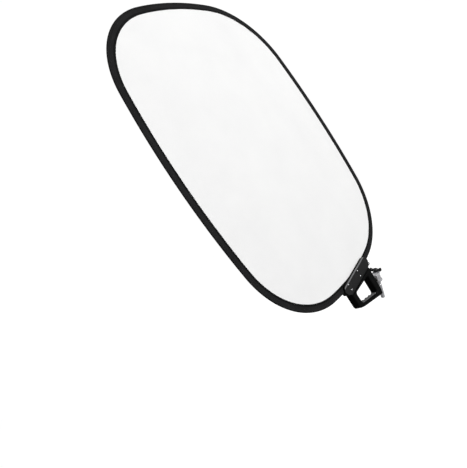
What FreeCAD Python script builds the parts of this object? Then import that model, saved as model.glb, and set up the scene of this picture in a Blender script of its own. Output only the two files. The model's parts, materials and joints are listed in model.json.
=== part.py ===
import FreeCAD, Part
import math
import os
from FreeCAD import Vector

# Hand-held oval reflector panel on a clamp-on D handle, with a spigot on a tilting bracket.
# Millimetres. X runs across the panel, Y from its front to its back, Z up.
# Everything is built about the centre of the panel, in the panel's middle plane,
# and save() then moves it so that the origin is on the spigot pin.

# ---- driving dimensions: panel ----
half_width = 450.0
half_height = 600.0
side_radius = 2690.0
end_radius = 1061.0
corner_radius = 314.0

tape = 0.7                # thickness of the binding tape
tape_width = 26.5         # how far the tape reaches in from the rim
tape_bend = 0.8           # bevel at the rim, where the tape folds over
tunnel_depth = 3.8        # radial depth of the tunnel that holds the hoop
tunnel_half = 3.0         # half the tunnel's height, front to back
taper_end = 9.0           # where the two flaps of tape meet the cloth
cloth = 0.9               # thickness of each cloth
cloth_gap = 0.05          # half the gap between the cloths
cloth_inset = 4.6         # edge of the cloths, inside the tape
hoop_inset = 1.2
hoop_thick = 1.2
hoop_half = 2.5           # half the width of the flat spring steel
hoop_gap = 1.5
ferrule_wall = 0.4
ferrule_slack = 0.05
ferrule_length = 44.0
ferrule_keep = 12.0       # the ferrule and the hoop's gap lie this near the lowest point

# ---- driving dimensions: handle ----
flange_front = -9.0       # front face of the flange, which lies over the rim
flange_back = 9.0
plate_thick = 1.6
ledge_width = 2.5         # ledge along the upper edge of the front plate
bevel_width = 4.5         # bevel between the ledge and the plate's face
bevel_depth = 1.2
loop_top = -612.0         # the loop ends here, inside the flange
loop_front = -16.0
loop_back = 14.0
loop_round = 5.5          # rounding of the loop's edges
loop_bends = (14.0, 30.0, 8.0, 20.0)    # radii of the loop's lower corners, from left to right
opening_bend = 8.0
plate_bend = 3.0
shell_wall = 3.4
hollow_top = -633.0       # the shells are solid above this height
post_r = 3.6              # the posts that the screws run in
bolt_seat = 60.0          # the right arm is solid round the pivot from this X outwards
rim_slack = 0.15          # room round the rim inside the handle
rivet_places = ((25.5, -582.5), (25.5, -605.0), (-65.0, -584.5), (-65.0, -607.5))
rivet_r = 2.0
rivet_head_r = 3.4
rivet_head = 1.3
rivet_tail_r = 2.9
rivet_tail = 1.0
rivet_washer = 0.6
rivet_washer_r = 3.8
rivet_slack = 0.05        # radial clearance of the rivets in hard pieces
rivet_cloth_slack = 0.1   # and in cloth
screw_r = 1.6
screw_head_r = 3.0
screw_head = 1.8
screw_sink = 2.4          # how far the screws' seats lie below the back face
screw_cover = 5.0         # plastic left in front of the screws' tips
screw_socket_r = 1.4
screw_socket = 1.1        # depth of the socket in each screw's head
pad_front = -11.0         # the finger pad, front to back
pad_back = 9.5
finger_count = 4
finger_r = 19.0
nut_flats = 10.0
nut_thick = 5.0
nut_start = 76.0
nut_slack = 0.05
screw_slack = 0.1         # radial clearance of the screws' heads
lug_thick = 3.0
lug_r = 4.5
lug_hole_r = 2.2
ring_r = 6.5
ring_wire = 1.5

# ---- driving dimensions: tilting bracket ----
pivot_y = -7.5            # the tilt axis, which runs along X
pivot_z = -669.0
lean = 18.0               # degrees that the spigot leans back from the panel
bolt_r = 3.0
bolt_tip = 72.0
bolt_head_r = 6.0
bolt_head = 4.0
socket_r = 2.6
socket_depth = 2.4
bolt_washer = 1.0
running = 0.05            # radial clearance of the shafts that turn
tight = 0.02              # radial clearance of what is fixed
face_gap = 0.15           # between faces that slide on each other
boss_r = 9.5
boss_length = 14.0
boss_end = 92.5           # X of the boss's outer face
disc_thick = 1.5
leg_thick = 6.0
leg_bend = 3.0            # fillet between the bracket's leg and shelf
bracket_r = 12.5
shelf_thick = 6.0
pivot_drop = 13.5         # from the shelf's underside down to the tilt axis

# ---- driving dimensions: spigot, measured down its axis from the shelf's underside ----
spigot_x = 122.5
stud_r = 4.0
stud_rise = 17.2
liner_thick = 1.2
stem_r = 12.3
stem_top_r = 11.6
stem_end = 28.0
collar_r = 16.0
collar_end = 33.0
pin_r = 7.94
pin_end = 114.0
pin_chamfer = 2.0
groove_start = 43.0
groove_end = 53.0
groove_r = 6.4
grip_centre = 82.5        # the middle of the plain length that a head grips

# ---- driving dimensions: wing knob and its washers ----
washer_r = 9.5
washer_thick = 1.6
spring_thick = 1.2
knob_r = 9.0
knob_height = 12.0
wing_reach = 22.5
wing_rise = 15.0
wing_thick = 8.5
wing_round = 1.4
insert_r = 5.6
insert_length = 9.8
insert_recess = 0.2       # from the knob's underside up to the insert

# ---- worked out ----
pivot = Vector(0, pivot_y, pivot_z)
disc_end = boss_end + disc_thick
leg_start = disc_end + face_gap
leg_end = leg_start + leg_thick
washer_start = shelf_thick + face_gap
spring_start = washer_start + washer_thick
knob_start = spring_start + spring_thick
X = Vector(1, 0, 0)
Y = Vector(0, 1, 0)
Z = Vector(0, 0, 1)
stem_start = liner_thick + face_gap
lean_rad = math.radians(lean)
grip_drop = grip_centre - pivot_drop
far = 200.0               # past every face of the handle, for cutting
origin = pivot + Vector(spigot_x, grip_drop * math.sin(lean_rad), -grip_drop * math.cos(lean_rad))


def save(node, shape):
    """Move a finished piece to the row's frame and write it."""
    solids = shape.Solids
    result = solids[0].copy() if len(solids) == 1 else Part.makeCompound(solids)
    result.translate(origin * -1)
    result.exportStep("parts/" + node + ".step")
    print("%-22s solids %d valid %s volume %.1f" % (node, len(solids), result.isValid(), result.Volume))


# ---- shapes that several pieces share ----

def corner_centre():
    """Centre of the corner arc that is tangent to a side arc and an end arc."""
    side_c = half_width - side_radius
    end_c = half_height - end_radius
    side_d = side_radius - corner_radius
    end_d = end_radius - corner_radius
    span = math.hypot(side_c, end_c)
    along = (side_d ** 2 - end_d ** 2 + span ** 2) / (2 * span)
    away = math.sqrt(side_d ** 2 - along ** 2)
    ux, uz = -side_c / span, end_c / span
    first = (side_c + ux * along - uz * away, uz * along + ux * away)
    second = (side_c + ux * along + uz * away, uz * along - ux * away)
    return first if first[1] > second[1] else second


def oval_arcs():
    """The rim as arcs: centre x, centre z, radius, start and end angle in degrees."""
    cx, cz = corner_centre()
    side_c = half_width - side_radius
    end_c = half_height - end_radius
    low = math.degrees(math.atan2(cz, cx - side_c))
    high = math.degrees(math.atan2(cz - end_c, cx))
    return [
        (side_c, 0, side_radius, -low, low),
        (cx, cz, corner_radius, low, high),
        (0, end_c, end_radius, high, 180 - high),
        (-cx, cz, corner_radius, 180 - high, 180 - low),
        (-side_c, 0, side_radius, 180 - low, 180 + low),
        (-cx, -cz, corner_radius, 180 + low, 180 + high),
        (0, -end_c, end_radius, 180 + high, 360 - high),
        (cx, -cz, corner_radius, 360 - high, 360 - low),
    ]


def on_arc(arc, inset, degrees, y):
    cx, cz, radius = arc[:3]
    angle = math.radians(degrees)
    reach = radius - inset
    return Vector(cx + reach * math.cos(angle), y, cz + reach * math.sin(angle))


def oval_plate(inset, y0, y1):
    """A flat plate with the panel's outline, inset from the rim."""
    edges = []
    for arc in oval_arcs():
        middle = (arc[3] + arc[4]) / 2
        points = [on_arc(arc, inset, a, y0) for a in (arc[3], middle, arc[4])]
        edges.append(Part.Arc(*points).toShape())
    return Part.Face(Part.Wire(edges)).extrude(Vector(0, y1 - y0, 0))


def oval_band(section):
    """A closed band along the rim; section is a list of (inset, y)."""
    band = None
    for arc in oval_arcs():
        corners = [on_arc(arc, inset, arc[3], y) for inset, y in section]
        face = Part.Face(Part.makePolygon(corners + corners[:1]))
        piece = face.revolve(Vector(arc[0], 0, arc[1]), Y * -1, arc[4] - arc[3])
        band = piece if band is None else band.fuse(piece)
    return band.removeSplitter()


def cylinder(radius, start, direction, length):
    return Part.makeCylinder(radius, length, start, direction)


def tube(outer, inner, start, direction, length):
    return cylinder(outer, start, direction, length).cut(cylinder(inner, start, direction, length))


def box(x0, x1, y0, y1, z0, z1):
    return Part.makeBox(x1 - x0, y1 - y0, z1 - z0, Vector(x0, y0, z0))


def slab(outline, y0, y1):
    """A flat piece from (x, z) corners, between two depths."""
    corners = [Vector(x, y0, z) for x, z in outline]
    return Part.Face(Part.makePolygon(corners + corners[:1])).extrude(Vector(0, y1 - y0, 0))


def corner_edges(shape, corners):
    """The edges that run front to back at the given (x, z) corners of a slab."""
    found = []
    for edge in shape.Edges:
        middle = edge.CenterOfMass
        runs_back = edge.BoundBox.XLength < 0.01 and edge.BoundBox.ZLength < 0.01
        if runs_back and any(math.hypot(middle.x - x, middle.z - z) < 0.01 for x, z in corners):
            found.append(edge)
    return found


def face_edges(shape, y):
    """Edges that lie in one depth plane."""
    return [e for e in shape.Edges if abs(e.BoundBox.YMin - y) < 0.01 and abs(e.BoundBox.YMax - y) < 0.01]


# ---- the panel ----

def strip(inset0, inset1, half):
    """A band of rectangular section round the panel."""
    return oval_band([(inset0, -half), (inset1, -half), (inset1, half), (inset0, half)])


def rim_binding():
    out = tunnel_half + tape
    flat_in = cloth + 2 * cloth_gap
    flat_out = flat_in + tape
    front = [(tape_bend, -out), (tunnel_depth, -out), (taper_end, -flat_out), (tape_width, -flat_out),
             (tape_width, -flat_in), (taper_end, -flat_in), (tunnel_depth, -tunnel_half),
             (tape, -tunnel_half)]
    back = [(inset, -y) for inset, y in reversed(front)]
    return oval_band([(0, -tunnel_half)] + front + back + [(0, tunnel_half)])


def spring_hoop():
    gap = hoop_gap / 2
    opening = box(-gap, gap, -far, far, -half_height - far, -half_height + ferrule_keep)
    return strip(hoop_inset, hoop_inset + hoop_thick, hoop_half).cut(opening)


def hoop_ferrule():
    """A flattened tube that is crimped over the two ends of the hoop."""
    start = hoop_inset - ferrule_slack
    end = hoop_inset + hoop_thick + ferrule_slack
    half = hoop_half + ferrule_slack
    outside = strip(start - ferrule_wall / 2, end + ferrule_wall, half + ferrule_wall)
    reach = ferrule_length / 2
    keep = box(-reach, reach, -far, far, -half_height - far, -half_height + ferrule_keep)
    return outside.cut(strip(start, end, half)).common(keep)


# ---- the handle: outlines seen from the front, as (x, z) corners ----

plate_outline = [(-89, -577.5), (96, -564.5), (117, -573), (123, -592), (113, -608),
                 (97, -613), (-76, -622), (-96, -610), (-103, -592)]
loop_outline = [(-84.5, -600), (-86.5, -675), (-56, -687.5), (82, -726.5), (88, -708), (98, -600)]
opening_outline = [(-58, -628), (-58, -673.5), (54, -702), (58.5, -628)]
screw_places = [(-71.5, -640), (-71.5, -668), (12, -699.5), (74, -711), (80, -626)]
lug_place = (129.0, -602.0)


def loop_outer(y0, y1):
    outer = slab(loop_outline, y0, y1)
    for corner, bend in zip(loop_outline[1:5], loop_bends):
        outer = outer.makeFillet(bend, corner_edges(outer, [corner]))
    return outer


def loop_opening(y0, y1):
    opening = slab(opening_outline, y0, y1)
    return opening.makeFillet(opening_bend, corner_edges(opening, opening_outline))


def loop_blank():
    """The loop round the hand opening, with all its edges rounded."""
    blank = loop_outer(loop_front, loop_back).cut(loop_opening(loop_front - 1, loop_back + 1))
    edges = face_edges(blank, loop_front) + face_edges(blank, loop_back)
    blank = blank.makeFillet(loop_round, [e for e in edges if e.BoundBox.ZMin < loop_outline[0][1] - 1])
    return blank.cut(box(-far, far, -far, far, loop_top, 0))


def handle_blank():
    flange = slab(plate_outline, flange_front, flange_back)
    flange = flange.makeFillet(plate_bend, corner_edges(flange, plate_outline))
    boss = cylinder(boss_r, pivot + X * (boss_end - boss_length), X, boss_length)
    x, z = lug_place
    lug = box(x - 14, x, 0, lug_thick, z - lug_r, z + lug_r)
    lug_eye = cylinder(lug_r, Vector(x, 0, z), Y, lug_thick)
    return loop_blank().fuse([flange, boss, lug, lug_eye]).removeSplitter()


def rim_space():
    """The room that the handle leaves round the rim and the cloths."""
    out = tunnel_half + tape + rim_slack
    flat = cloth + 2 * cloth_gap + tape + rim_slack
    bead = oval_band([(-rim_slack, -out), (taper_end, -out), (taper_end, out), (-rim_slack, out)])
    return bead.fuse(oval_plate(taper_end - 0.5, -flat, flat))


def loop_cavity():
    """The hollow inside the loop, with its screw posts and the pivot's seat left solid."""
    start = loop_front + shell_wall
    end = loop_back - shell_wall
    ring = loop_outer(start, end).cut(loop_opening(start - 1, end + 1))
    faces = [f for f in ring.Faces if f.BoundBox.YMax < start + 0.01]
    inner = faces[0].makeOffset2D(-shell_wall)
    below = box(-far, far, -far, far, -2 * half_height, hollow_top)
    hollow = inner.extrude(Vector(0, end - start, 0)).common(below)
    posts = [cylinder(post_r, Vector(x, -far, z), Y, 2 * far) for x, z in screw_places]
    seat = cylinder(boss_r, pivot + X * bolt_seat, X, far)
    return hollow.cut(Part.makeCompound(posts)).cut(seat)


def grip_pad():
    """A rubber strip along the bottom of the opening, scalloped for the fingers."""
    x0, z0 = opening_outline[1]
    x1, z1 = opening_outline[2]
    length = math.hypot(x1 - x0, z1 - z0)
    ux, uz = (x1 - x0) / length, (z1 - z0) / length

    def at(along, up):
        return (x0 + ux * along - uz * up, z0 + uz * along + ux * up)

    ends = 7.0
    pad = slab([at(ends, -2.5), at(length - ends, -2.5), at(length - ends, 3.5), at(ends, 3.5)],
               pad_front, pad_back)
    pitch = (length - 2 * ends) / finger_count
    for i in range(finger_count):
        cx, cz = at(ends + pitch * (i + 0.5), finger_r + 0.6)
        pad = pad.cut(cylinder(finger_r, Vector(cx, -40, cz), Y, 80))
    return pad.makeFillet(1.4, [e for e in face_edges(pad, pad_front) + face_edges(pad, pad_back)
                                if e.BoundBox.DiagonalLength > 12])


def screws(clearance, head_length):
    """The screws that close the handle, driven from the back, or the holes for them."""
    tip = loop_front + screw_cover
    seat = loop_back - screw_sink
    pieces = []
    for x, z in screw_places:
        head = cylinder(screw_head_r + clearance, Vector(x, seat, z), Y, head_length)
        shank = cylinder(screw_r, Vector(x, tip, z), Y, seat - tip)
        pieces.append(head.fuse(shank).removeSplitter())
    return pieces


def handle_screws():
    """The screws, each with a socket in its head for the driver."""
    bottom = loop_back - screw_sink + screw_head - screw_socket
    sockets = [cylinder(screw_socket_r, Vector(x, bottom, z), Y, screw_head) for x, z in screw_places]
    return [screw.cut(socket) for screw, socket in zip(screws(0, screw_head), sockets)]


def rivet_holes(clearance):
    return [cylinder(rivet_r + clearance, Vector(x, -far, z), Y, 2 * far) for x, z in rivet_places]


def rivets():
    """Round-headed rivets through both plates, with their tails spread at the back."""
    front = flange_front - plate_thick
    back = flange_back + plate_thick + rivet_washer
    pieces = []
    grip = back - front
    profile = [(0, -rivet_head), (rivet_head_r * 0.5, -rivet_head), (rivet_head_r * 0.85, -rivet_head * 0.6),
               (rivet_head_r, 0), (rivet_r, 0), (rivet_r, grip), (rivet_tail_r, grip),
               (rivet_tail_r - 0.6, grip + rivet_tail), (0, grip + rivet_tail)]
    for x, z in rivet_places:
        pieces.append(turned(profile, Vector(x, front, z), Y))
    return pieces


def rivet_washers():
    y = flange_back + plate_thick
    places = [Vector(x, y, z) for x, z in rivet_places]
    return [tube(rivet_washer_r, rivet_r + rivet_slack, place, Y, rivet_washer) for place in places]


def front_clamp_plate():
    front = flange_front - plate_thick
    plate = slab(plate_outline, front, flange_front)
    plate = plate.makeFillet(plate_bend, corner_edges(plate, plate_outline))
    a, b = plate_outline[:2]
    length = math.hypot(b[0] - a[0], b[1] - a[1])
    ux, uz = (b[0] - a[0]) / length, (b[1] - a[1]) / length

    def at(along, up, y):
        return Vector(a[0] + ux * along - uz * up, y, a[1] + uz * along + ux * up)

    beyond = 30.0
    low = front + bevel_depth
    corners = [at(-beyond, -ledge_width - bevel_width, front), at(-beyond, -ledge_width, low),
               at(-beyond, beyond, low), at(-beyond, beyond, front)]
    wedge = Part.Face(Part.makePolygon(corners + corners[:1]))
    wedge = wedge.extrude(Vector(ux, 0, uz) * (length + 2 * beyond))
    return cut_all(plate.cut(wedge), rivet_holes(rivet_slack))


def back_clamp_plate():
    plate = slab(plate_outline, flange_back, flange_back + plate_thick)
    plate = plate.makeFillet(plate_bend, corner_edges(plate, plate_outline))
    return cut_all(plate, rivet_holes(rivet_slack))


def pivot_nut(slack=0.0):
    """The hexagon nut that is trapped in the handle's right arm."""
    corners = []
    for i in range(6):
        angle = math.radians(60 * i)
        reach = (nut_flats / 2 + slack) / math.cos(math.radians(30))
        corners.append(pivot + Vector(nut_start - slack, reach * math.cos(angle), reach * math.sin(angle)))
    hexagon = Part.Face(Part.makePolygon(corners + corners[:1]))
    return hexagon.extrude(X * (nut_thick + 2 * slack))


def handle_shells():
    blank = handle_blank().cut(rim_space())
    bolt_bore = cylinder(bolt_r + tight, pivot + X * (bolt_tip - 2), X, far)
    x, z = lug_place
    lug_hole = cylinder(lug_hole_r, Vector(x, -far, z), Y, 2 * far)
    in_front = slab(plate_outline, -far, flange_front)
    behind = slab(plate_outline, flange_back, far)
    tools = [in_front, behind, loop_cavity(), pivot_nut(nut_slack), bolt_bore, lug_hole, grip_pad()]
    tools += rivet_holes(rivet_slack) + screws(screw_slack, screw_sink + 1)
    blank = cut_all(blank, tools)
    front = blank.common(box(-far, far, -far, 0, -2 * half_height, 0))
    back = blank.common(box(-far, far, 0, far, -2 * half_height, 0))
    return biggest(front), biggest(back)


# ---- the tilting bracket, the spigot and its clamp ----
# These are built about the tilt axis with the spigot upright, and leaned() puts them in place.

def leaned(shape):
    shape.rotate(Vector(), X, lean)
    shape.translate(pivot)
    return shape


def on_spigot(drop):
    """A point on the spigot's axis, some way below the shelf's underside."""
    return Vector(spigot_x, 0, pivot_drop - drop)


def pivot_bolt():
    """A socket-headed bolt, which the nut in the handle's right arm holds."""
    head_start = leg_end + face_gap + bolt_washer
    shank = cylinder(bolt_r, pivot + X * bolt_tip, X, head_start - bolt_tip)
    head = cylinder(bolt_head_r, pivot + X * head_start, X, bolt_head)
    head = head.makeChamfer(0.6, [e for e in head.Edges if e.CenterOfMass.x > head_start + bolt_head - 0.1])
    socket = cylinder(socket_r, pivot + X * (head_start + bolt_head - socket_depth), X, bolt_head)
    return shank.fuse(head).removeSplitter().cut(socket)


def tilt_bracket():
    """An angle bracket: its leg turns on the pivot, and its shelf holds the spigot's stud."""
    top = pivot_drop + shelf_thick
    leg = box(leg_start, leg_end, -bracket_r, bracket_r, 0, top)
    leg_eye = cylinder(bracket_r, X * leg_start, X, leg_thick)
    shelf = box(leg_start, spigot_x, -bracket_r, bracket_r, pivot_drop, top)
    shelf_eye = cylinder(bracket_r, on_spigot(0), Z, shelf_thick)
    bracket = leg.fuse([leg_eye, shelf, shelf_eye]).removeSplitter()
    for x, z in ((leg_end, pivot_drop), (leg_start, top)):
        corner = [e for e in bracket.Edges if (e.CenterOfMass - Vector(x, 0, z)).Length < 0.01]
        bracket = bracket.makeFillet(leg_bend, corner)
    bolt_bore = cylinder(bolt_r + running, X * boss_end, X, 30)
    stud_bore = cylinder(stud_r + running, on_spigot(5), Z, 40)
    return leaned(cut_all(bracket, [bolt_bore, stud_bore]))


def spigot():
    """One turned piece: the threaded stud, the stem with its collar, and the grooved pin."""
    stud = [(0, -stud_rise), (stud_r - 0.6, -stud_rise), (stud_r, -stud_rise + 0.6), (stud_r, stem_start)]
    stem = [(stem_top_r - 0.8, stem_start), (stem_top_r, stem_start + 0.8), (stem_r, stem_end - 2)]
    collar = [(collar_r, stem_end), (collar_r, collar_end - 1), (collar_r - 1, collar_end)]
    groove = [(pin_r, groove_start), (groove_r, groove_start + 2),
              (groove_r, groove_end - 2), (pin_r, groove_end)]
    tip = [(pin_r, pin_end - pin_chamfer), (pin_r - pin_chamfer, pin_end), (0, pin_end)]
    profile = stud + stem + collar + [(pin_r, collar_end)] + groove + tip
    return leaned(turned(profile, on_spigot(0), Z * -1))


def spigot_ring(outer, inner, start, thick):
    """A flat ring round the spigot's stud, some way above the shelf's underside."""
    return leaned(tube(outer, inner, on_spigot(-start), Z, thick))


def wing_knob():
    hub_profile = [(0, 0), (knob_r - 0.8, 0), (knob_r, 0.8), (knob_r - 1.2, knob_height - 1.5),
                   (knob_r - 2.4, knob_height), (0, knob_height)]
    hub = turned(hub_profile, on_spigot(-knob_start), Z)
    outline = [(0, 0.5), (9, 0.5), (wing_reach - 2, 1), (wing_reach, 3.5), (wing_reach, wing_rise - 1.5),
               (wing_reach - 5, wing_rise), (11.5, knob_height - 1.5), (0, knob_height - 1)]
    base = on_spigot(-knob_start)
    pieces = []
    for side in (1, -1):
        corners = [base + Vector(-wing_thick / 2, side * out, rise) for out, rise in outline]
        wing = Part.Face(Part.makePolygon(corners + corners[:1])).extrude(X * wing_thick)
        pieces.append(wing.makeFillet(wing_round, [e for e in wing.Edges if abs(e.CenterOfMass.y) > 1]))
    knob = hub.fuse(pieces).removeSplitter()
    bore_depth = insert_recess + insert_length
    return leaned(knob.cut(cylinder(insert_r, on_spigot(1 - knob_start), Z, bore_depth + 1)))


def lanyard_ring():
    x, z = lug_place
    return Part.makeTorus(ring_r, ring_wire, Vector(x, lug_thick / 2, z - ring_r), X)


def biggest(shape):
    return max(shape.Solids, key=lambda s: s.Volume)


def cut_all(shape, tools):
    for tool in tools:
        shape = shape.cut(tool)
    return shape


def turned(profile, start, direction):
    """A turned piece from (radius, distance along the axis) corners."""
    corners = [Vector(radius, 0, along) for radius, along in profile]
    face = Part.Face(Part.makePolygon(corners + corners[:1]))
    piece = face.revolve(Vector(), Vector(0, 0, 1), 360)
    piece.Placement = FreeCAD.Placement(start, FreeCAD.Rotation(Vector(0, 0, 1), direction))
    return piece


def main():
    os.makedirs("parts", exist_ok=True)
    holes = rivet_holes(rivet_cloth_slack)

    save("front_cloth", cut_all(oval_plate(cloth_inset, -cloth - cloth_gap, -cloth_gap), holes))
    save("back_cloth", cut_all(oval_plate(cloth_inset, cloth_gap, cloth + cloth_gap), holes))
    save("rim_binding", cut_all(rim_binding(), holes))
    save("spring_hoop", spring_hoop())
    save("hoop_ferrule", hoop_ferrule())

    front_shell, back_shell = handle_shells()
    save("handle_front_shell", front_shell)
    save("handle_back_shell", back_shell)
    save("grip_pad", grip_pad())
    save("front_clamp_plate", front_clamp_plate())
    save("back_clamp_plate", back_clamp_plate())
    save("plate_rivets", Part.makeCompound(rivets()))
    save("rivet_washers", Part.makeCompound(rivet_washers()))
    save("handle_screws", Part.makeCompound(handle_screws()))

    save("pivot_bolt", pivot_bolt())
    save("pivot_nut", pivot_nut().cut(cylinder(bolt_r + tight, pivot, X, far)))
    save("friction_disc", tube(boss_r, bolt_r + tight, pivot + X * boss_end, X, disc_thick))
    under_head = pivot + X * (leg_end + face_gap)
    save("bolt_washer", tube(bolt_head_r, bolt_r + running, under_head, X, bolt_washer))
    save("tilt_bracket", tilt_bracket())
    save("spigot", spigot())
    bore = stud_r + running
    save("spigot_liner", spigot_ring(bracket_r - 1, bore, -liner_thick, liner_thick))
    save("thrust_washer", spigot_ring(washer_r, bore, washer_start, washer_thick))
    save("spring_washer", spigot_ring(washer_r - 1, bore, spring_start, spring_thick))
    save("wing_knob", wing_knob())
    save("knob_insert", spigot_ring(insert_r, bore, knob_start + insert_recess, insert_length))
    save("lanyard_ring", lanyard_ring())


main()
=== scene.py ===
import json
import math
import bpy
from mathutils import Matrix, Vector, noise


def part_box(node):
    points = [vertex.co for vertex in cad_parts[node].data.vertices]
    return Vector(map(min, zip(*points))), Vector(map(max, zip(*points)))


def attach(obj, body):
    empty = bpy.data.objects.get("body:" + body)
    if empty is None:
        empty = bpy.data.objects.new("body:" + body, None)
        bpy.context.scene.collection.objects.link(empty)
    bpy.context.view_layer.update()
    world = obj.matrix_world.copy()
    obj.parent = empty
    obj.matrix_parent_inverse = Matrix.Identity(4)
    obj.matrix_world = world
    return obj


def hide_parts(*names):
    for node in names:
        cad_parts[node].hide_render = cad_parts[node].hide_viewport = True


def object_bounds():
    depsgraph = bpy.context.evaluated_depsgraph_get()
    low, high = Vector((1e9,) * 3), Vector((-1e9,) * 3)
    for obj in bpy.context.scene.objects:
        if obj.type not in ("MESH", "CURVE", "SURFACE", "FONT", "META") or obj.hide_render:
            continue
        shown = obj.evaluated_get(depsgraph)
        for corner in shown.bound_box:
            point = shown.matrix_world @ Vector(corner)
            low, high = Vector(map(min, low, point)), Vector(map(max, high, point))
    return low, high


# Looks of an oval cloth reflector on a hoop, with a clamp-on D handle and a spigot on a tilting bracket.
# Metres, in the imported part's frame: X across the panel, Y from front to back, Z up.

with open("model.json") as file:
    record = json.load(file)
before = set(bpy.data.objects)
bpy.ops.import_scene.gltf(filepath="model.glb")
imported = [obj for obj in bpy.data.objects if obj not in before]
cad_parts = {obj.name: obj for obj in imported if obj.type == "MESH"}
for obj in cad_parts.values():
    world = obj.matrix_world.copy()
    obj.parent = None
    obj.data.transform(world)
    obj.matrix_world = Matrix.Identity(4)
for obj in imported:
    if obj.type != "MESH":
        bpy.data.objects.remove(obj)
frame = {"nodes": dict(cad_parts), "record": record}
cad_low, cad_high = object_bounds()

# ---- sizes ----
rim_low, rim_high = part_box("rim_binding")
CENTRE = (rim_low + rim_high) / 2
HALF_WIDTH = (rim_high.x - rim_low.x) / 2
HALF_HEIGHT = (rim_high.z - rim_low.z) / 2
SIDE_RADIUS = 2.690
END_RADIUS = 1.061
CORNER_RADIUS = 0.314
SIDE_X = HALF_WIDTH - SIDE_RADIUS       # centre of the right side's arc, from the panel's centre
END_Z = HALF_HEIGHT - END_RADIUS        # centre of the upper end's arc
CLAMP_MIDDLE = (0.01, -0.60)            # where the handle clamps the panel, from the panel's centre
CLAMP_REACH = (0.135, 0.055)            # half the clamped width, and how far up it reaches
CLAMP_FADE = 0.35                       # the share of that reach in which the clamping fades out
TAPE_REACH = 0.0265         # how far the tape reaches in from the rim
FLAT_Y = 0.0017             # outer face of the flaps, from the panel's middle plane
CLOTH_Y = 0.00095           # outer face of each cloth
CLOTH_THICK = 0.0005
CLOTH_INSET = 0.0046
THREAD_R = 0.00027
STITCH_PITCH = 0.0042
STITCH_LENGTH = 0.0030
SEAM_INSETS = (0.0098, 0.0222)
TUNNEL_EDGE = 0.0085        # inset where the hoop's tunnel ends and the flaps lie flat
SKIN_SPLIT = 0.0012         # between a flap's inner and outer faces, from the panel's middle plane
FLAP_HEM = 0.003            # the strip along a flap's edge that wanders a little
# sections of a stitch: share of its length, lift and radius, both as parts of the thread's radius
STITCH_SECTIONS = ((-0.5, -0.7, 0.6), (-0.28, 0.35, 1.0), (0.0, 0.55, 1.0), (0.28, 0.35, 1.0),
                   (0.5, -0.7, 0.6))
WAVE_PERIOD = 0.314         # crest to crest of a wave texture whose scale is 1
FLOOR_DROP = 0.75           # from the object's lowest point
FLOOR_REACH = 14.0


# ---- the rim's outline ----

def corner_centre():
    """Centre of the corner arc that is tangent to a side arc and an end arc."""
    from_side = SIDE_RADIUS - CORNER_RADIUS
    from_end = END_RADIUS - CORNER_RADIUS
    span = math.hypot(SIDE_X, END_Z)
    along = (from_side ** 2 - from_end ** 2 + span ** 2) / (2 * span)
    away = math.sqrt(from_side ** 2 - along ** 2)
    ux, uz = -SIDE_X / span, END_Z / span
    first = (SIDE_X + ux * along - uz * away, uz * along + ux * away)
    second = (SIDE_X + ux * along + uz * away, uz * along - ux * away)
    return first if first[1] > second[1] else second


def oval_arcs():
    """The rim as arcs about the panel's centre: x, z, radius, first and last angle."""
    cx, cz = corner_centre()
    low = math.atan2(cz, cx - SIDE_X)
    high = math.atan2(cz - END_Z, cx)
    half_turn = math.pi
    return [
        (SIDE_X, 0, SIDE_RADIUS, -low, low),
        (cx, cz, CORNER_RADIUS, low, high),
        (0, END_Z, END_RADIUS, high, half_turn - high),
        (-cx, cz, CORNER_RADIUS, half_turn - high, half_turn - low),
        (-SIDE_X, 0, SIDE_RADIUS, half_turn - low, half_turn + low),
        (-cx, -cz, CORNER_RADIUS, half_turn + low, half_turn + high),
        (0, -END_Z, END_RADIUS, half_turn + high, 2 * half_turn - high),
        (cx, -cz, CORNER_RADIUS, 2 * half_turn - high, 2 * half_turn - low),
    ]


def stations(inset, step, corner_step):
    """Points a step apart, with the rim's whole length. A point is x, z, outward x and z, distance along
    the rim, and crowding, which is above 0 only in the corners."""
    found, distance = [], 0.0
    for number, (cx, cz, radius, first, last) in enumerate(oval_arcs()):
        reach = radius - inset
        length = reach * (last - first)
        in_corner = number % 2
        count = max(2, round(length / (corner_step if in_corner else step)))
        for i in range(count):
            share = i / count
            angle = first + (last - first) * share
            crowd = math.sin(math.pi * share) ** 0.5 if in_corner else 0.0
            ox, oz = math.cos(angle), math.sin(angle)
            found.append((CENTRE.x + cx + reach * ox, CENTRE.z + cz + reach * oz, ox, oz,
                          distance + length * share, crowd))
        distance += length
    return found, distance


def handle_share(x, z):
    """1 where the handle clamps the panel, falling to 0 a little way off."""
    across = abs(x - CENTRE.x - CLAMP_MIDDLE[0]) / CLAMP_REACH[0]
    up = (z - CENTRE.z - CLAMP_MIDDLE[1]) / CLAMP_REACH[1]
    return min(1.0, max(0.0, (1 + CLAMP_FADE - max(across, up)) / CLAMP_FADE))


def wave(x, z):
    """The slight slackness of the stretched cloths, front to back."""
    broad = noise.noise(Vector((x * 2.3, 0.4, z * 2.0)))
    fine = noise.noise(Vector((x * 9.0, 7.0, z * 7.0)))
    return 0.0011 * broad + 0.00022 * fine


# ---- mesh helpers ----

def mesh_object(name, points, faces):
    mesh = bpy.data.meshes.new(name)
    mesh.from_pydata(points, [], faces)
    mesh.validate()
    mesh.polygons.foreach_set("use_smooth", [True] * len(mesh.polygons))
    made = bpy.data.objects.new(name, mesh)
    bpy.context.scene.collection.objects.link(made)
    return made


def ring_faces(rings, around):
    """Quads between neighbouring rings of points; the last ring joins the first."""
    faces = []
    for i in range(rings):
        a, b = i * around, ((i + 1) % rings) * around
        for k in range(around):
            m = (k + 1) % around
            faces.append((a + k, a + m, b + m, b + k))
    return faces


# ---- materials ----

def nodes_of(name):
    made = bpy.data.materials.new(name)
    made.use_nodes = True
    tree = made.node_tree
    return made, tree, tree.nodes["Principled BSDF"]


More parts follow.
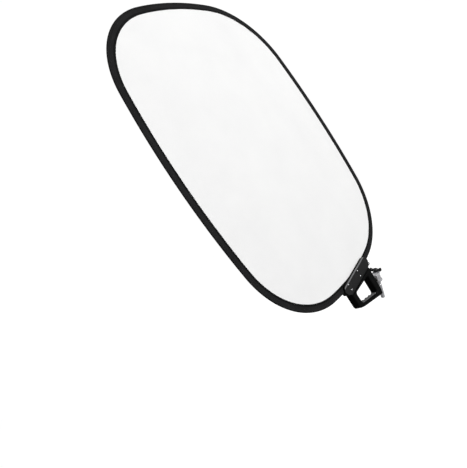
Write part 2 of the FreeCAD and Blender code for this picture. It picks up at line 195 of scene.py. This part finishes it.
def link(tree, a, b):
    tree.links.new(a, b)


def math_node(tree, operation, a, b):
    """One sum on two values, each of them a number or another node's output."""
    made = tree.nodes.new("ShaderNodeMath")
    made.operation = operation
    for socket, value in zip(made.inputs, (a, b)):
        if isinstance(value, (int, float)):
            socket.default_value = value
        else:
            link(tree, value, socket)
    return made.outputs[0]


def weighed(tree, first, second, weight):
    """The weighted mean of two values; the weight is the first one's."""
    return math_node(tree, "ADD", math_node(tree, "MULTIPLY", first, weight),
                     math_node(tree, "MULTIPLY", second, 1 - weight))


def blend(tree, share, under, colour):
    """The under colour, which turns into one plain colour as the share goes to 1."""
    made = tree.nodes.new("ShaderNodeMix")
    made.data_type = "RGBA"
    link(tree, share, made.inputs["Factor"])
    link(tree, under, made.inputs["A"])
    made.inputs["B"].default_value = (*colour, 1)
    return made.outputs["Result"]


def noise_at(tree, coords, scale, detail=3.0, roughness=0.55, stretch=None):
    """Noise by place; stretch scales the axes first, for grain that runs one way."""
    if stretch:
        mapping = tree.nodes.new("ShaderNodeMapping")
        mapping.inputs["Scale"].default_value = stretch
        link(tree, coords, mapping.inputs["Vector"])
        coords = mapping.outputs[0]
    made = tree.nodes.new("ShaderNodeTexNoise")
    made.inputs["Scale"].default_value = scale
    made.inputs["Detail"].default_value = detail
    made.inputs["Roughness"].default_value = roughness
    link(tree, coords, made.inputs["Vector"])
    return made.outputs["Fac"]


def ramp(tree, value, low, high, low_colour, high_colour):
    made = tree.nodes.new("ShaderNodeValToRGB")
    made.color_ramp.elements[0].position = low
    made.color_ramp.elements[1].position = high
    made.color_ramp.elements[0].color = (*low_colour, 1)
    made.color_ramp.elements[1].color = (*high_colour, 1)
    link(tree, value, made.inputs[0])
    return made.outputs[0]


def spread(tree, value, low, high):
    made = tree.nodes.new("ShaderNodeMapRange")
    made.inputs["To Min"].default_value = low
    made.inputs["To Max"].default_value = high
    link(tree, value, made.inputs["Value"])
    return made.outputs[0]


def bump(tree, shader, height, distance, strength):
    made = tree.nodes.new("ShaderNodeBump")
    made.inputs["Strength"].default_value = strength
    made.inputs["Distance"].default_value = distance
    link(tree, height, made.inputs["Height"])
    link(tree, made.outputs[0], shader.inputs["Normal"])


def object_coords(tree):
    return tree.nodes.new("ShaderNodeTexCoord").outputs["Object"]


def tape_coords(tree, layer):
    made = tree.nodes.new("ShaderNodeUVMap")
    made.uv_map = layer
    return made.outputs[0]


def near(tree, value, middle, half_width):
    """1 where the value is at the middle, falling to 0 a half width away."""
    away = math_node(tree, "ABSOLUTE", math_node(tree, "SUBTRACT", value, middle), 0.0)
    made = tree.nodes.new("ShaderNodeMapRange")
    made.interpolation_type = "SMOOTHSTEP"
    made.inputs["From Min"].default_value = half_width * 0.5
    made.inputs["From Max"].default_value = half_width
    made.inputs["To Min"].default_value = 1.0
    made.inputs["To Max"].default_value = 0.0
    link(tree, away, made.inputs["Value"])
    return made.outputs[0]


def bands(tree, coords, direction, pitch):
    """A sine wave across one direction, a pitch from crest to crest."""
    made = tree.nodes.new("ShaderNodeTexWave")
    made.bands_direction = direction
    made.inputs["Scale"].default_value = WAVE_PERIOD / pitch
    made.inputs["Distortion"].default_value = 0.6
    made.inputs["Detail"].default_value = 1.0
    made.inputs["Detail Scale"].default_value = 2.0
    link(tree, coords, made.inputs["Vector"])
    return made.outputs["Fac"]


def cloth_material(name, dark, light, roughness, metal, pitch, sheen):
    """Plain weave: warp and weft bands, with faint mottling and a soft sheen."""
    made, tree, shader = nodes_of(name)
    coords = object_coords(tree)
    weave = math_node(tree, "MULTIPLY", bands(tree, coords, "X", pitch), bands(tree, coords, "Z", pitch))
    cloud = noise_at(tree, coords, 6.0, 4.0)
    tone = weighed(tree, weave, cloud, 0.35)
    link(tree, ramp(tree, tone, 0.2, 0.75, dark, light), shader.inputs["Base Color"])
    link(tree, spread(tree, noise_at(tree, coords, 40.0), roughness - 0.05, roughness + 0.05),
         shader.inputs["Roughness"])
    shader.inputs["Metallic"].default_value = metal
    shader.inputs["Sheen Weight"].default_value = sheen
    shader.inputs["Specular IOR Level"].default_value = 0.25
    bump(tree, shader, weave, 0.00012, 0.5)
    return made


def tape_material(name):
    """Ribbed black tape: ribs along it, fine weft across it, faded patches, and darker at the inner seam."""
    made, tree, shader = nodes_of(name)
    coords = tape_coords(tree, "tape")
    ribs = bands(tree, coords, "Y", 0.0022)
    weft = bands(tree, coords, "X", 0.0007)
    weave = weighed(tree, ribs, weft, 0.65)
    fade = noise_at(tree, object_coords(tree), 14.0, 5.0)
    tone = weighed(tree, weave, fade, 0.5)
    cover = ramp(tree, tone, 0.25, 0.8, (0.0050, 0.0050, 0.0053), (0.025, 0.025, 0.026))
    split = tree.nodes.new("ShaderNodeSeparateXYZ")
    link(tree, tape_coords(tree, "inset"), split.inputs[0])
    # a darker band along the inner row of stitches, put into the base colour
    seam_band = near(tree, split.outputs["Y"], SEAM_INSETS[1] - 0.0004, 0.0034)
    sewn = blend(tree, math_node(tree, "MULTIPLY", seam_band, 0.9), cover, (0.002, 0.002, 0.002))
    link(tree, sewn, shader.inputs["Base Color"])
    shader.inputs["Roughness"].default_value = 0.62
    shader.inputs["Sheen Weight"].default_value = 0.02
    shader.inputs["Sheen Roughness"].default_value = 0.4
    shader.inputs["Specular IOR Level"].default_value = 0.05
    bump(tree, shader, weave, 0.0002, 0.8)
    return made


def thread_material(name, colour):
    """Sewing thread: a fine twist, faded a little in places."""
    made, tree, shader = nodes_of(name)
    twist = noise_at(tree, object_coords(tree), 1800.0, 2.0)
    faded = tuple(c * 1.8 + 0.004 for c in colour)
    link(tree, ramp(tree, twist, 0.3, 0.7, colour, faded), shader.inputs["Base Color"])
    shader.inputs["Roughness"].default_value = 0.5
    bump(tree, shader, twist, 0.0001, 0.6)
    return made


def moulded_material(name, dark, light, roughness, grain, depth, specular=0.35):
    """Moulded plastic or rubber: a fine spark-eroded grain and rubbed patches."""
    made, tree, shader = nodes_of(name)
    coords = object_coords(tree)
    texture = noise_at(tree, coords, grain, 2.0)
    mottled = noise_at(tree, coords, 35.0, 5.0, 0.65)
    link(tree, ramp(tree, mottled, 0.35, 0.72, dark, light), shader.inputs["Base Color"])
    link(tree, spread(tree, mottled, roughness + 0.08, roughness - 0.10), shader.inputs["Roughness"])
    shader.inputs["Specular IOR Level"].default_value = specular
    bump(tree, shader, texture, depth, 0.6)
    return made


def plate_material(name, dark, light, bevel_highlight):
    """Moulded plate with a painted highlight: its bevel, the only face that leans upwards a little, is
    painted lighter, in random patches.
    """
    made = moulded_material(name, dark, light, 0.52, 1100.0, 0.00008, 0.22)
    tree = made.node_tree
    shader = tree.nodes["Principled BSDF"]
    face = shader.inputs["Base Color"].links[0].from_socket
    split = tree.nodes.new("ShaderNodeSeparateXYZ")
    link(tree, tree.nodes.new("ShaderNodeTexCoord").outputs["Normal"], split.inputs[0])
    # painted highlight: faces whose normal leans a little upwards get a lighter colour, as if lit from above
    bevel = near(tree, split.outputs["Z"], 0.26, 0.16)
    mottled = spread(tree, noise_at(tree, object_coords(tree), 120.0, 4.0), 0.55, 1.0)
    highlighted = blend(tree, math_node(tree, "MULTIPLY", bevel, mottled), face, bevel_highlight)
    link(tree, highlighted, shader.inputs["Base Color"])
    return made


def metal_material(name, dark, light, roughness, stretch=(1, 1, 1), grain=900.0, depth=0.00003, metal=1.0):
    """Bare or plated metal: grain that can run one way, and dulled patches."""
    made, tree, shader = nodes_of(name)
    coords = object_coords(tree)
    lines = noise_at(tree, coords, grain, 2.0, 0.5, stretch)
    patches = noise_at(tree, coords, 60.0, 5.0, 0.6)
    tone = weighed(tree, lines, patches, 0.5)
    link(tree, ramp(tree, tone, 0.3, 0.7, dark, light), shader.inputs["Base Color"])
    link(tree, spread(tree, tone, roughness + 0.10, roughness - 0.08), shader.inputs["Roughness"])
    shader.inputs["Metallic"].default_value = metal
    bump(tree, shader, lines, depth, 0.5)
    return made


def grey(value):
    """A grey with a trace of blue."""
    return (value, value, value * 1.03)


MATERIALS = {
    "white_cloth": cloth_material("white_cloth", (0.86, 0.86, 0.86), (0.93, 0.93, 0.925), 0.85,
                                  metal=0.0, pitch=0.0009, sheen=0.1),
    "silver_cloth": cloth_material("silver_cloth", (0.56, 0.57, 0.59), (0.78, 0.79, 0.81), 0.42,
                                   metal=0.55, pitch=0.0011, sheen=0.0),
    "binding_tape": tape_material("binding_tape"),
    "binding_thread": thread_material("binding_thread", (0.008, 0.008, 0.009)),
    "spring_steel": metal_material("spring_steel", (0.20, 0.21, 0.25), (0.38, 0.38, 0.42), 0.35),
    "plated_steel": metal_material("plated_steel", grey(0.52), grey(0.72), 0.30),
    "bright_steel": metal_material("bright_steel", grey(0.62), grey(0.80), 0.30, (0.05, 0.05, 6.0), 500.0,
                                   metal=0.55),
    "black_steel": metal_material("black_steel", grey(0.012), grey(0.04), 0.45, metal=0.6),
    "cast_alloy": metal_material("cast_alloy", grey(0.58), grey(0.78), 0.42, grain=700.0, depth=0.00012,
                                 metal=0.3),
    "rivet_alloy": metal_material("rivet_alloy", grey(0.60), grey(0.84), 0.34, grain=1200.0),
    "plate_grey": plate_material("plate_grey", grey(0.009), grey(0.015), grey(0.20)),
    "black_nylon": moulded_material("black_nylon", grey(0.0018), grey(0.0050), 0.50, 1300.0, 0.00007, 0.06),
    "knob_plastic": moulded_material("knob_plastic", grey(0.016), grey(0.032), 0.38, 1600.0, 0.00004, 0.5),
    "grip_rubber": moulded_material("grip_rubber", grey(0.10), grey(0.16), 0.75, 900.0, 0.00012, 0.2),
    "friction_fibre": moulded_material("friction_fibre", (0.05, 0.035, 0.022), (0.10, 0.075, 0.05), 0.8,
                                       700.0, 0.0001),
    "brass": metal_material("brass", (0.50, 0.36, 0.13), (0.72, 0.55, 0.25), 0.32),
}


def paint_cad_nodes():
    """Give each CAD node the procedural material of its slot in the record."""
    for row in frame["record"]["subparts"]:
        mesh = frame["nodes"][row["node"]].data
        mesh.materials.clear()
        mesh.materials.append(MATERIALS[row["material_slot"]])


# ---- the cloths ----

def slack(x, z, share, distance, crowd):
    """How far a stretched cloth leaves its plane; share is 0 at the panel's middle and 1 at the rim."""
    free = 1 - handle_share(x, z)
    pull = math.exp(-((1 - share) / 0.09)) * (1 - share ** 30) * (0.3 + crowd)
    ripple = 0.0005 * pull * math.sin(distance / 0.0105)
    return free * (wave(x, z) * (1 - share ** 6) + ripple)


def cloth(name, side, slot):
    """One stretched cloth; side is -1 for the front and 1 for the back."""
    rim, _ = stations(CLOTH_INSET, step=0.008, corner_step=0.006)
    rings, around = 56, len(rim)
    outer_y = side * CLOTH_Y
    inner_y = side * (CLOTH_Y - CLOTH_THICK)
    points = []
    for face_y in (outer_y, inner_y):
        for i in range(1, rings + 1):
            share = (i / rings) ** 0.8
            for x, z, _, _, distance, crowd in rim:
                px = CENTRE.x + (x - CENTRE.x) * share
                pz = CENTRE.z + (z - CENTRE.z) * share
                points.append((px, face_y + CENTRE.y + slack(px, pz, share, distance, crowd), pz))
    layer = rings * around
    faces = []
    for start, flip in ((0, side > 0), (layer, side < 0)):
        for i in range(rings - 1):
            a = start + i * around
            for k in range(around):
                m = (k + 1) % around
                quad = (a + k, a + m, a + around + m, a + around + k)
                faces.append(quad if flip else quad[::-1])
        faces += centre_fan(points, start, around, flip)
    last = (rings - 1) * around
    for k in range(around):
        m = (k + 1) % around
        quad = (last + k, last + m, layer + last + m, layer + last + k)
        faces.append(quad if side > 0 else quad[::-1])
    made = mesh_object(name, points, faces)
    made.data.materials.append(MATERIALS[slot])
    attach(made, "panel")
    return made


def centre_fan(points, start, around, flip):
    """Close the middle of a cloth with a fan round one point."""
    ring = points[start:start + around]
    points.append(tuple(sum(p[i] for p in ring) / around for i in range(3)))
    middle = len(points) - 1
    fan = [(middle, start + (k + 1) % around, start + k) for k in range(around)]
    return fan if flip else [f[::-1] for f in fan]


# ---- the binding ----

def mirrored(section):
    """Points of a section, moved to the panel's other face."""
    return [(inset, -y) for inset, y in section]


def tape_profile():
    """The folded tape's section as (inset, y), from the front flap's edge round the rim to the back's."""
    flap_edge, flap_root = TAPE_REACH - 0.0006, 0.0095
    ribs, rib_steps, rib_depth = 10, 4, 0.00011
    nose_depth, nose_y = 0.0034, 0.0037
    inner_y = 0.00098
    skin = []
    for i in range(ribs * rib_steps + 1):
        share = i / (ribs * rib_steps)
        groove = rib_depth * (1 - math.cos(2 * math.pi * share * ribs)) / 2
        skin.append((flap_edge - share * (flap_edge - flap_root), FLAT_Y - groove))
    skin += [(0.0078, 0.0021), (0.0060, 0.0029), (0.0044, 0.0036)]      # up over the hoop's tunnel
    for degrees in range(0, 91, 15):
        angle = math.radians(degrees)
        skin.append((nose_depth - nose_depth * math.sin(angle), nose_y * math.cos(angle) ** 0.8))
    outside = mirrored(skin) + skin[-2::-1]
    edge = [(TAPE_REACH, 0.00145), (TAPE_REACH, 0.00115), (TAPE_REACH - 0.0004, inner_y)]
    tunnel = [(0.0090, inner_y), (0.0042, 0.0028), (0.0010, 0.0024)]
    return outside + edge + tunnel + mirrored(tunnel[::-1]) + mirrored(edge[::-1])


def seam_dip(inset):
    """How far a row of stitches pulls the tape down."""
    return sum(0.00022 * math.exp(-((inset - seam) / 0.0009) ** 2) for seam in SEAM_INSETS)


def pucker(inset, distance, crowd):
    """Small gathers across the flaps, deepest where the rim turns."""
    share = max(0.0, min(1.0, (inset - 0.008) / (TAPE_REACH - 0.008)))
    wobble = noise.noise(Vector((distance * 34.0, inset * 20.0, 2.0)))
    gather = math.sin(distance / 0.0021 + 3.0 * noise.noise(Vector((distance * 18.0, 0.0, 5.0))))
    return share * (0.00018 * wobble + crowd * 0.00022 * gather)


def tape_uvs(mesh, marks, length, width):
    """Distance along the tape with the distance across it, and in a second layer with the inset."""
    tape_layer = mesh.uv_layers.new(name="tape")
    inset_layer = mesh.uv_layers.new(name="inset")
    for loop in mesh.loops:
        along, across, inset = marks[loop.vertex_index]
        tape_layer.data[loop.index].uv = (along, across)
        inset_layer.data[loop.index].uv = (along, inset)
    for polygon in mesh.polygons:
        corners = [tape_layer.data[i] for i in polygon.loop_indices]
        for axis, whole in enumerate((length, width)):
            places = [corner.uv[axis] for corner in corners]
            if max(places) - min(places) < whole / 2:
                continue
            for corner in corners:
                if corner.uv[axis] < whole / 2:
                    corner.uv[axis] += whole


def binding():
    """The tape that is folded over the rim and sewn through both cloths."""
    rim, length = stations(0.0, step=0.0045, corner_step=0.0026)
    profile = tape_profile()
    across = [0.0]
    for here, there in zip(profile, profile[1:]):
        across.append(across[-1] + math.dist(here, there))
    points, marks = [], []
    for x, z, ox, oz, distance, crowd in rim:
        free = 1 - handle_share(x, z)
        sway = 0.0005 * noise.noise(Vector((distance * 9.0, 3.0, 0.0))) * free
        for (inset, y), v in zip(profile, across):
            place = inset + (sway if inset > TAPE_REACH - FLAP_HEM else 0.0)
            height = abs(y)
            if inset > TUNNEL_EDGE and height > SKIN_SPLIT:
                height += pucker(inset, distance, crowd) * free - seam_dip(inset)
            points.append((x - ox * place, CENTRE.y + math.copysign(height, y), z - oz * place))
            marks.append((distance, v, inset))
    made = mesh_object("rim_tape", points, ring_faces(len(rim), len(profile)))
    join = 0.0005
    tape_uvs(made.data, marks, length, across[-1] + join)
    made.data.materials.append(MATERIALS["binding_tape"])
    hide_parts("rim_binding")
    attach(made, "panel")
    return made


def stitch(points, faces, middle, along, up, out):
    """One short arched thread of five sides, which dives into the tape at both ends."""
    sides, spans = 5, len(STITCH_SECTIONS) - 1
    start = len(points)
    for share, lift, radius in STITCH_SECTIONS:
        centre = middle + along * (share * STITCH_LENGTH) + up * (lift * THREAD_R)
        for k in range(sides):
            angle = 2 * math.pi * k / sides
            points.append(centre + (up * math.sin(angle) + out * math.cos(angle)) * THREAD_R * radius)
    for i in range(spans):
        for k in range(sides):
            m = (k + 1) % sides
            a, b = start + i * sides, start + (i + 1) * sides
            faces.append((a + k, a + m, b + m, b + k))
    faces.append(tuple(start + k for k in range(sides))[::-1])
    faces.append(tuple(start + spans * sides + k for k in range(sides)))


def seams():
    """Two rows of stitches on each face: one closes the hoop's tunnel, one holds the flap's edge."""
    points, faces = [], []
    for seam in SEAM_INSETS:
        rim, _ = stations(seam, STITCH_PITCH, STITCH_PITCH)
        for x, z, ox, oz, distance, crowd in rim:
            free = 1 - handle_share(x, z)
            if free < 0.25:
                continue
            out = Vector((ox, 0, oz))
            along = Vector((-oz, 0, ox))
            height = FLAT_Y - seam_dip(seam) + pucker(seam, distance, crowd) * free
            for side in (-1, 1):
                middle = Vector((x, CENTRE.y + side * height, z))
                stitch(points, faces, middle, along, Vector((0, side, 0)), out * side)
    made = mesh_object("rim_stitches", points, faces)
    made.data.materials.append(MATERIALS["binding_thread"])
    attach(made, "panel")
    return made


# ---- the scene ----

def look_at(thing, target, roll=0.0):
    forward = (target - thing.location).normalized()
    turn = forward.to_track_quat("-Z", "Y").to_matrix() @ Matrix.Rotation(roll, 3, "Z")
    thing.rotation_mode = "QUATERNION"
    thing.rotation_quaternion = turn.to_quaternion()


def camera():
    """From in front and to the left, close by, with the horizon tipped as if the panel leaned."""
    data = bpy.data.cameras.new("camera")
    data.lens = 26.02
    data.sensor_width = 36.0
    made = bpy.data.objects.new("camera", data)
    bpy.context.scene.collection.objects.link(made)
    made.location = CENTRE + Vector((-1.0320, -0.7562, -0.1330))
    look_at(made, CENTRE + Vector((-0.3751, 0.0, -0.1892)), math.radians(-34.165))
    bpy.context.scene.camera = made


def softbox(name, place, target, size, power):
    data = bpy.data.lights.new(name, "AREA")
    data.shape = "SQUARE"
    data.size = size
    data.energy = power
    made = bpy.data.objects.new(name, data)
    bpy.context.scene.collection.objects.link(made)
    made.location = place
    look_at(made, target)


def floor():
    """A wide floor, grey to the light; the camera sees it as white as the backdrop, so no edge shows."""
    ends = (-FLOOR_REACH, FLOOR_REACH)
    points = [(x, y, cad_low.z - FLOOR_DROP) for y in ends for x in ends]
    made = mesh_object("floor", points, [(0, 1, 3, 2)])
    material, tree, shader = nodes_of("floor_paint")
    cloud = noise_at(tree, object_coords(tree), 1.5)
    paint = ramp(tree, cloud, 0.3, 0.7, (0.30, 0.30, 0.30), (0.34, 0.34, 0.34))
    link(tree, paint, shader.inputs["Base Color"])
    shader.inputs["Roughness"].default_value = 0.9
    shader.inputs["Specular IOR Level"].default_value = 0.1
    shader.inputs["Emission Color"].default_value = (1, 1, 1, 1)
    path = tree.nodes.new("ShaderNodeLightPath")
    seen = math_node(tree, "MULTIPLY", path.outputs["Is Camera Ray"], 0.97)
    link(tree, seen, shader.inputs["Emission Strength"])
    made.data.materials.append(material)


def studio():
    """White surroundings, dimmer as light than as backdrop, with three large softboxes."""
    world = bpy.data.worlds.new("studio")
    bpy.context.scene.world = world
    world.use_nodes = True
    tree = world.node_tree
    tree.nodes.clear()
    seen = tree.nodes.new("ShaderNodeBackground")
    seen.inputs["Strength"].default_value = 1.02
    glow = tree.nodes.new("ShaderNodeBackground")
    glow.inputs["Strength"].default_value = 0.08
    path = tree.nodes.new("ShaderNodeLightPath")
    mix = tree.nodes.new("ShaderNodeMixShader")
    out = tree.nodes.new("ShaderNodeOutputWorld")
    for background in (seen, glow):
        background.inputs["Color"].default_value = (1, 1, 1, 1)
    link(tree, path.outputs["Is Camera Ray"], mix.inputs[0])
    link(tree, glow.outputs[0], mix.inputs[1])
    link(tree, seen.outputs[0], mix.inputs[2])
    link(tree, mix.outputs[0], out.inputs[0])
    softbox("key", CENTRE + Vector((2.2, -6.6, 2.2)), CENTRE, 3.0, 462)
    softbox("fill", CENTRE + Vector((-4.4, -5.0, 1.4)), CENTRE, 2.4, 100)
    softbox("back_fill", CENTRE + Vector((1.6, 3.4, 2.0)), CENTRE, 2.6, 70)
    bpy.context.scene.view_settings.view_transform = "Standard"


camera()
studio()
floor()
paint_cad_nodes()
front = cloth("white_face", -1, "white_cloth")
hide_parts("front_cloth")
back = cloth("silver_face", 1, "silver_cloth")
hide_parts("back_cloth")
tape = binding()
thread = seams()
